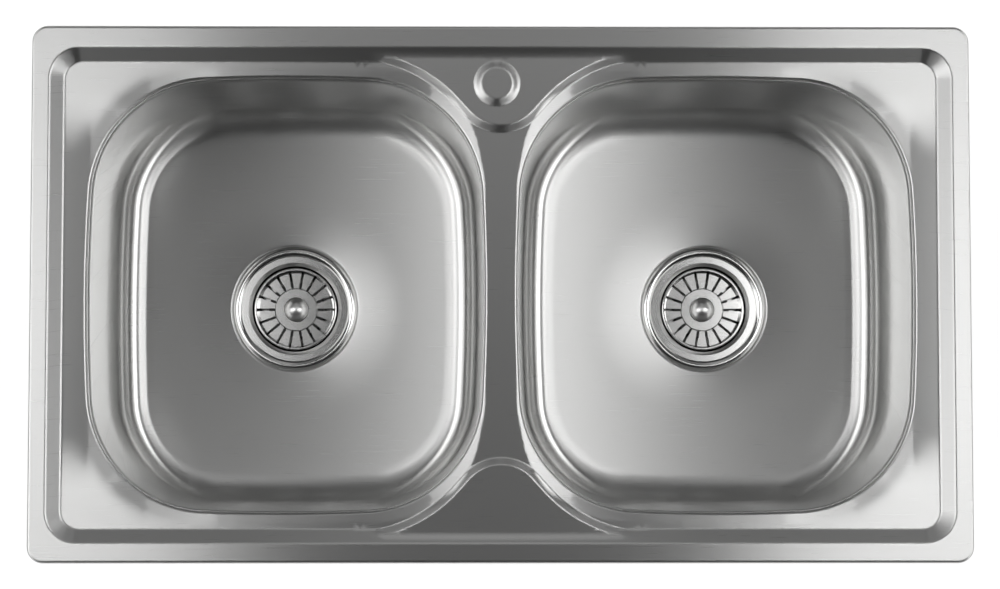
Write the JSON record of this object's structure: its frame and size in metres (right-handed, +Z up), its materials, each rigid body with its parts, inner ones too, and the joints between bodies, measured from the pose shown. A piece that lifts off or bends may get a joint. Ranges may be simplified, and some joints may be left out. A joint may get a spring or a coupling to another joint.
{
  "type": "double bowl kitchen sink",
  "caption": "Drop-in pressed stainless steel kitchen sink with two deep bowls side by side, a raised tap deck, lift-out basket strainers, waste tails and worktop fixing clips.",
  "frame": {"origin": "middle of the sink's outline on the top of the worktop, at the underside of the rim's seal", "axes": "+X to the right along the sink's length, +Y to the back where the tap goes, +Z up"},
  "size_m": [0.8, 0.457, 0.332],
  "materials": {
    "brushed_stainless": "fine brushed",
    "polished_stainless": "polished",
    "foam_seal": "closed-cell foam",
    "rubber_seal": "moulded",
    "damping_pad": "matt",
    "fibre_washer": "pressed fibre",
    "cast_zinc": "as cast",
    "white_plastic": "moulded",
    "chromed_brass": "bright",
    "galvanised_steel": "zinc plated"
  },
  "bodies": {
    "sink": {"deck_panel": "brushed_stainless", "left_bowl": "brushed_stainless", "right_bowl": "brushed_stainless", "rim_seal": "foam_seal", "left_damping_pad": "damping_pad", "right_damping_pad": "damping_pad", "left_flange_seal": "rubber_seal", "left_strainer_body": "polished_stainless", "left_under_seal": "rubber_seal", "left_friction_washer": "fibre_washer", "left_lock_nut": "cast_zinc", "left_tail_washer": "white_plastic", "left_tailpiece": "chromed_brass", "left_coupling_nut": "cast_zinc", "right_flange_seal": "rubber_seal", "right_strainer_body": "polished_stainless", "right_under_seal": "rubber_seal", "right_friction_washer": "fibre_washer", "right_lock_nut": "cast_zinc", "right_tail_washer": "white_plastic", "right_tailpiece": "chromed_brass", "right_coupling_nut": "cast_zinc", "front_rail": "galvanised_steel", "back_rail": "galvanised_steel", "left_rail": "galvanised_steel", "right_rail": "galvanised_steel", "clip_bolts": "galvanised_steel"},
    "left_plug": {"left_basket_knob": "polished_stainless", "left_basket_post": "polished_stainless", "left_basket_stopper": "rubber_seal"},
    "left_basket": {"left_basket_cup": "polished_stainless"},
    "right_plug": {"right_basket_knob": "polished_stainless", "right_basket_post": "polished_stainless", "right_basket_stopper": "rubber_seal"},
    "right_basket": {"right_basket_cup": "polished_stainless"},
    "nut_back_left": {"clip_nut_back_left": "galvanised_steel"},
    "claw_back_left": {"clip_claw_back_left": "galvanised_steel"},
    "nut_back_right": {"clip_nut_back_right": "galvanised_steel"},
    "claw_back_right": {"clip_claw_back_right": "galvanised_steel"},
    "nut_front_left": {"clip_nut_front_left": "galvanised_steel"},
    "claw_front_left": {"clip_claw_front_left": "galvanised_steel"},
    "nut_front_right": {"clip_nut_front_right": "galvanised_steel"},
    "claw_front_right": {"clip_claw_front_right": "galvanised_steel"},
    "nut_left": {"clip_nut_left": "galvanised_steel"},
    "claw_left": {"clip_claw_left": "galvanised_steel"},
    "nut_right": {"clip_nut_right": "galvanised_steel"},
    "claw_right": {"clip_claw_right": "galvanised_steel"}
  },
  "joints": [
    {"name": "left_plug_lift", "type": "slide", "parent": "sink", "child": "left_plug", "axis": [0, 0, 1], "range_m": [-0.0111, 0.25]},
    {"name": "left_basket_turn", "type": "hinge", "parent": "left_plug", "child": "left_basket", "pos_m": [-0.1872, -0.0038, -0.1735], "axis": [0, 0, 1], "continuous": true},
    {"name": "right_plug_lift", "type": "slide", "parent": "sink", "child": "right_plug", "axis": [0, 0, 1], "range_m": [-0.0111, 0.25]},
    {"name": "right_basket_turn", "type": "hinge", "parent": "right_plug", "child": "right_basket", "pos_m": [0.1872, -0.0038, -0.1735], "axis": [0, 0, 1], "continuous": true},
    {"name": "clamp_back_left", "type": "slide", "parent": "sink", "child": "nut_back_left", "axis": [0, 0, 1], "range_m": [-0.01, 0.008]},
    {"name": "swing_back_left", "type": "hinge", "parent": "nut_back_left", "child": "claw_back_left", "pos_m": [-0.3, 0.1925, -0.0375], "axis": [0, 0, 1], "range_deg": [-90, 90]},
    {"name": "clamp_back_right", "type": "slide", "parent": "sink", "child": "nut_back_right", "axis": [0, 0, 1], "range_m": [-0.01, 0.008]},
    {"name": "swing_back_right", "type": "hinge", "parent": "nut_back_right", "child": "claw_back_right", "pos_m": [0.3, 0.1925, -0.0375], "axis": [0, 0, 1], "range_deg": [-90, 90]},
    {"name": "clamp_front_left", "type": "slide", "parent": "sink", "child": "nut_front_left", "axis": [0, 0, 1], "range_m": [-0.01, 0.008]},
    {"name": "swing_front_left", "type": "hinge", "parent": "nut_front_left", "child": "claw_front_left", "pos_m": [-0.3, -0.1941, -0.0375], "axis": [0, 0, 1], "range_deg": [-90, 90]},
    {"name": "clamp_front_right", "type": "slide", "parent": "sink", "child": "nut_front_right", "axis": [0, 0, 1], "range_m": [-0.01, 0.008]},
    {"name": "swing_front_right", "type": "hinge", "parent": "nut_front_right", "child": "claw_front_right", "pos_m": [0.3, -0.1941, -0.0375], "axis": [0, 0, 1], "range_deg": [-90, 90]},
    {"name": "clamp_left", "type": "slide", "parent": "sink", "child": "nut_left", "axis": [0, 0, 1], "range_m": [-0.01, 0.008]},
    {"name": "swing_left", "type": "hinge", "parent": "nut_left", "child": "claw_left", "pos_m": [-0.3671, -0.0008, -0.0375], "axis": [0, 0, 1], "range_deg": [-90, 90]},
    {"name": "clamp_right", "type": "slide", "parent": "sink", "child": "nut_right", "axis": [0, 0, 1], "range_m": [-0.01, 0.008]},
    {"name": "swing_right", "type": "hinge", "parent": "nut_right", "child": "claw_right", "pos_m": [0.3671, -0.0008, -0.0375], "axis": [0, 0, 1], "range_deg": [-90, 90]}
  ]
}
